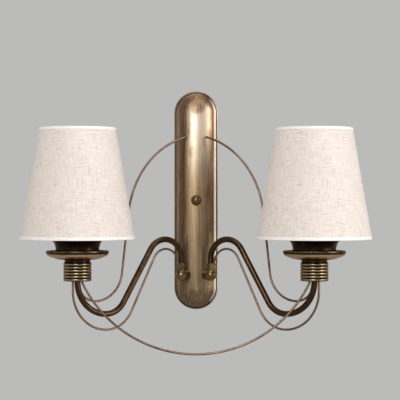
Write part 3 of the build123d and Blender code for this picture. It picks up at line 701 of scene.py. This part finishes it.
slant = hypot(cover["height"], cover["bottomRadius"] - cover["topRadius"])
coneSine = (cover["bottomRadius"] - cover["topRadius"]) / slant


def unrolled(turn, z):
    # where a point of the cone lies on the flat cut, in metres
    reach = coneRadius(z) / coneSine
    return reach * sin(turn * coneSine), reach * cos(turn * coneSine)


def lapLift(degreesOn):
    # how far the outer end stands out, for an angle counted from the inner end
    into = degreesOn - (360 - cover["liftAngle"])
    share = min(max(into / cover["liftAngle"], 0), 1)
    return cover["lapRise"] * share * share * (3 - 2 * share)


def makeCover(side, materials):
    bottom = cover["bottomZ"] + cover["inset"]
    top = cover["bottomZ"] + cover["height"] - cover["inset"]
    deselectAll()
    bpy.ops.mesh.primitive_grid_add(x_subdivisions=cover["around"], y_subdivisions=cover["up"], size=2)
    cloth = named(side + "ClothCover")
    total = 360 + cover["lapAngle"]
    flat = {}
    for vertex in cloth.data.vertices:
        along, share = (vertex.co.x + 1) / 2, (vertex.co.y + 1) / 2
        counted = along * total
        angle = radians(cover["seamAt"] + counted)
        z = bottom + (top - bottom) * share
        radius = coneRadius(z) - cover["inset"] + lapLift(counted)
        radius += cover["wave"] * sin(3 * angle + 9 * share) * sin(pi * share)
        flat[vertex.index] = unrolled(radians(counted - total / 2), z)
        vertex.co = (sides[side] * lightX + radius * cos(angle), lightY + radius * sin(angle), z)
    layer = cloth.data.uv_layers.active.data
    for loop in cloth.data.loops:
        layer[loop.index].uv = flat[loop.vertex_index]
    settle(cloth)
    bpy.ops.object.mode_set(mode="EDIT")
    bpy.ops.mesh.select_all(action="SELECT")
    bpy.ops.mesh.normals_make_consistent(inside=False)
    bpy.ops.object.mode_set(mode="OBJECT")
    face = cloth.data.polygons[0]
    if (face.center - Vector(axisOf(side))).dot(face.normal) < 0:
        cloth.data.flip_normals()
    for material in materials:
        cloth.data.materials.append(material)
    applied(
        cloth, "SOLIDIFY", thickness=cover["thickness"], offset=-1, material_offset=1, material_offset_rim=0)
    smoothed(cloth, 40)
    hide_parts(side + "_shade_cover")
    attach(cloth, side + "_shade")
    return cloth


def tapeLift(counted):
    # the tape follows the lapped ends of the cloth under it
    if counted > cover["lapAngle"]:
        return lapLift(counted)
    past = max(counted - cover["lapAngle"] + trim["fadeAngle"], 0)
    return cover["lapRise"] * (1 - past / trim["fadeAngle"])


def aroundAxis(point, side):
    # radius and angle of a point about the light's axis
    x, y = point.x - sides[side] * lightX, point.y - lightY
    return hypot(x, y), atan2(y, x)


def makeTrim(side, edge, material):
    # tape folded over the cover's edge, standing a little proud of it on both sides
    low = cover["bottomZ"] if edge == "bottom" else cover["bottomZ"] + cover["height"] - trim["height"]
    high = low + trim["height"]
    deselectAll()
    bpy.ops.mesh.primitive_cone_add(
        vertices=trim["around"], radius1=coneRadius(low), radius2=coneRadius(high), depth=trim["height"],
        end_fill_type="NOTHING", location=(sides[side] * lightX, lightY, (low + high) / 2))
    ring = named(side + edge.title() + "Tape")
    settle(ring)
    selectEdges(ring, lambda a, b: abs(a.z - b.z) > trim["height"] / 2)
    bpy.ops.mesh.subdivide(number_cuts=3)
    bpy.ops.object.mode_set(mode="OBJECT")
    applied(ring, "SOLIDIFY", thickness=trim["wall"], offset=-1)
    applied(ring, "BEVEL", width=trim["round"], segments=3, limit_method="ANGLE", angle_limit=radians(40))
    free = high if edge == "bottom" else low
    for vertex in ring.data.vertices:
        radius, angle = aroundAxis(vertex.co, side)
        wave = trim["wave"] * (sin(11 * angle + 0.7) + sin(27 * angle + 2.1) * 0.6)
        onFace = radius > coneRadius(vertex.co.z) - trim["wall"] / 2
        radius += tapeLift((angle * 180 / pi - cover["seamAt"]) % 360) + (wave if onFace else 0)
        vertex.co.x = sides[side] * lightX + radius * cos(angle)
        vertex.co.y = lightY + radius * sin(angle)
        if abs(vertex.co.z - free) < trim["edgeReach"]:
            vertex.co.z += trim["wave"] * trim["edgeWave"] * sin(17 * angle + 1.3)
    layer = (ring.data.uv_layers.active or ring.data.uv_layers.new(name="tapeAlong")).data
    for polygon in ring.data.polygons:
        _, faceTurn = aroundAxis(polygon.center, side)
        for index in polygon.loop_indices:
            co = ring.data.vertices[ring.data.loops[index].vertex_index].co
            radius, turn = aroundAxis(co, side)
            if turn - faceTurn > pi:
                turn -= 2 * pi
            elif turn - faceTurn < -pi:
                turn += 2 * pi
            folded = radius < coneRadius(co.z) - trim["innerFrom"]
            layer[index].uv = (turn * coneRadius(low), co.z + (trim["innerShift"] if folded else 0))
    ring.data.materials.append(material)
    smoothed(ring, 50)
    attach(ring, side + "_shade")
    return ring


def makeShades(clothMaterial, filmMaterial, bindMaterial):
    for side in sides:
        cloth = makeCover(side, [clothMaterial, filmMaterial])
        rings = [makeTrim(side, edge, bindMaterial) for edge in ("bottom", "top")]
        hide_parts(side + "_shade_trims")


# CAD nodes keep their shapes and get these finishes
finishes = {
    "arm_tube": "arm", "arm_collar": "ball", "knuckle": "ball", "cap_nut": "ball", "cap_nut_washer": "arm",
    "lower_rod": "rod", "hoop_rod": "rod", "swag_rod": "rod", "neck_ring": "dark", "nipple": "zinc",
    "knuckle_nut": "zinc", "wall_bracket": "zinc", "centre_stud": "zinc", "stud_locknut": "zinc",
    "terminal_screws": "zinc", "earth_screw": "zinc", "terminal_block": "block", "earth_lead": "earth",
    "lampholder_base": "holder", "lampholder_body": "holder", "lampholder_contacts": "contact",
    "shade_ring": "holder", "shade_frame": "wire", "bulb_cap": "cap", "bulb_contact": "contact",
    "bulb_insulator": "seal", "bulb_glass": "opal", "lead": "lead", "backplate": "plate",
}


def dressNodes():
    made = {
        "arm": patinaMaterial("antiqueBrassArm", armBrass),
        "rod": patinaMaterial("antiqueBrassRod", rodBrass),
        "ball": patinaMaterial("antiqueBrassBall", ballBrass),
        "dark": patinaMaterial("deepBronze", darkBronze),
        "plate": plateMaterial(),
        "zinc": zincMaterial(),
        "contact": contactMaterial(),
        "cap": capMaterial(),
        "opal": opalMaterial(),
        "earth": earthMaterial(),
        "holder": mouldedMaterial("ivoryHolder", "holder"),
        "block": mouldedMaterial("terminalBlock", "block"),
        "lead": mouldedMaterial("leadSheath", "lead"),
        "wire": mouldedMaterial("whiteWire", "wire"),
        "seal": mouldedMaterial("blackSeal", "seal"),
    }
    shaped = {"ribbed_ferrule": ferruleMaterial, "drip_dish": dishMaterial, "cup": cupMaterial}
    for name, node in nodes.items():
        side, _, kind = name.partition("_")
        if kind in ("shade_cover", "shade_trims"):    # cloth pieces stand for these
            continue
        if side in sides and kind in shaped:
            material = shaped[kind](side)
        else:
            material = made[finishes[kind if side in sides else name]]
        if not node.material_slots:
            node.data.materials.append(material)
        for slot in node.material_slots:
            slot.material = material


# studio: a pale floor well below the light, one plain backdrop colour, soft lamps
studio = {
    "backdrop": (0.50, 0.497, 0.494),
    "ambient": 0.40,
    "floorZ": -1.3,
    "floorRadius": 2.4,
    "fade": (0.5, 0.96),    # the floor turns into the backdrop from this radius to this share of its own
    "floor": (0.56, 0.555, 0.55),
    "aim": (0, -0.1, -0.02),
}
lamps = [
    # name, place, width and height, watts
    ("keyLamp", (-0.55, -2.6, 1.05), (1.0, 1.7), 39),
    ("rightLamp", (1.9, -1.05, 0.45), (0.8, 1.5), 22),
    ("leftLamp", (-2.1, -0.20, 0.25), (0.5, 1.4), 1.5),
    ("rimLamp", (2.2, -0.05, 0.30), (0.4, 1.3), 4),
    ("topLamp", (0.1, -0.5, 1.9), (1.4, 1.0), 10),
]


def makeLamps():
    for name, place, size, watts in lamps:
        data = bpy.data.lights.new(name, "AREA")
        data.shape = "RECTANGLE"
        data.size, data.size_y = size
        data.energy = watts
        lamp = bpy.data.objects.new(name, data)
        bpy.context.scene.collection.objects.link(lamp)
        lamp.location = place
        aim = Vector(studio["aim"]) - Vector(place)
        lamp.rotation_euler = aim.to_track_quat("-Z", "Y").to_euler()
        lamp.visible_camera = False


def seenDirectly(tree):
    # 1 for rays from the camera, from gloss and through glass
    path = tree.nodes.new("ShaderNodeLightPath")
    total = path.outputs["Is Camera Ray"]
    for ray in ("Is Glossy Ray", "Is Transmission Ray"):
        add = tree.nodes.new("ShaderNodeMath")
        add.operation = "MAXIMUM"
        tree.links.new(total, add.inputs[0])
        tree.links.new(path.outputs[ray], add.inputs[1])
        total = add.outputs[0]
    return total


def makeWorld():
    world = bpy.data.worlds.new("studioWorld")
    world.use_nodes = True
    bpy.context.scene.world = world
    tree = world.node_tree
    background = tree.nodes["Background"]
    mix = tree.nodes.new("ShaderNodeMix")
    mix.data_type = "RGBA"
    mix.inputs[6].default_value = (studio["ambient"],) * 3 + (1,)
    mix.inputs[7].default_value = (*studio["backdrop"], 1)
    tree.links.new(seenDirectly(tree), mix.inputs[0])
    tree.links.new(mix.outputs[2], background.inputs["Color"])


def makeFloor():
    deselectAll()
    bpy.ops.mesh.primitive_circle_add(
        vertices=96, radius=studio["floorRadius"], fill_type="NGON", location=(0, 0, studio["floorZ"]))
    floor = named("paleFloor")
    settle(floor)
    material = startMaterial("paleFloor", Base_Color=(*studio["floor"], 1), Roughness=0.9)
    tree = material.node_tree
    shader, output = tree.nodes["Principled BSDF"], tree.nodes["Material Output"]
    parts = split(material, placed(material))
    fadeFrom, fadeShare = studio["fade"]
    fade = spread(
        material, flatLength(material, parts["X"], parts["Y"]), fadeFrom, studio["floorRadius"] * fadeShare)
    fade = maths(material, "MULTIPLY", fade, seenDirectly(tree))
    glow = addNode(material, "Emission", values=[("Color", (*studio["backdrop"], 1)), ("Strength", 1.0)])
    mix = addNode(material, "MixShader", [(0, fade), (1, shader.outputs[0]), (2, glow.outputs[0])])
    tree.links.new(mix.outputs[0], output.inputs["Surface"])
    floor.data.materials.append(material)


makeCamera()
makeWorld()
makeLamps()
makeFloor()
print("studio ready")
dressNodes()
print("finishes on the CAD nodes")
makeShades(linenMaterial(), backingMaterial(), tapeMaterial())
print("shades ready")

bpy.context.scene.view_settings.view_transform = "Standard"
deselectAll()
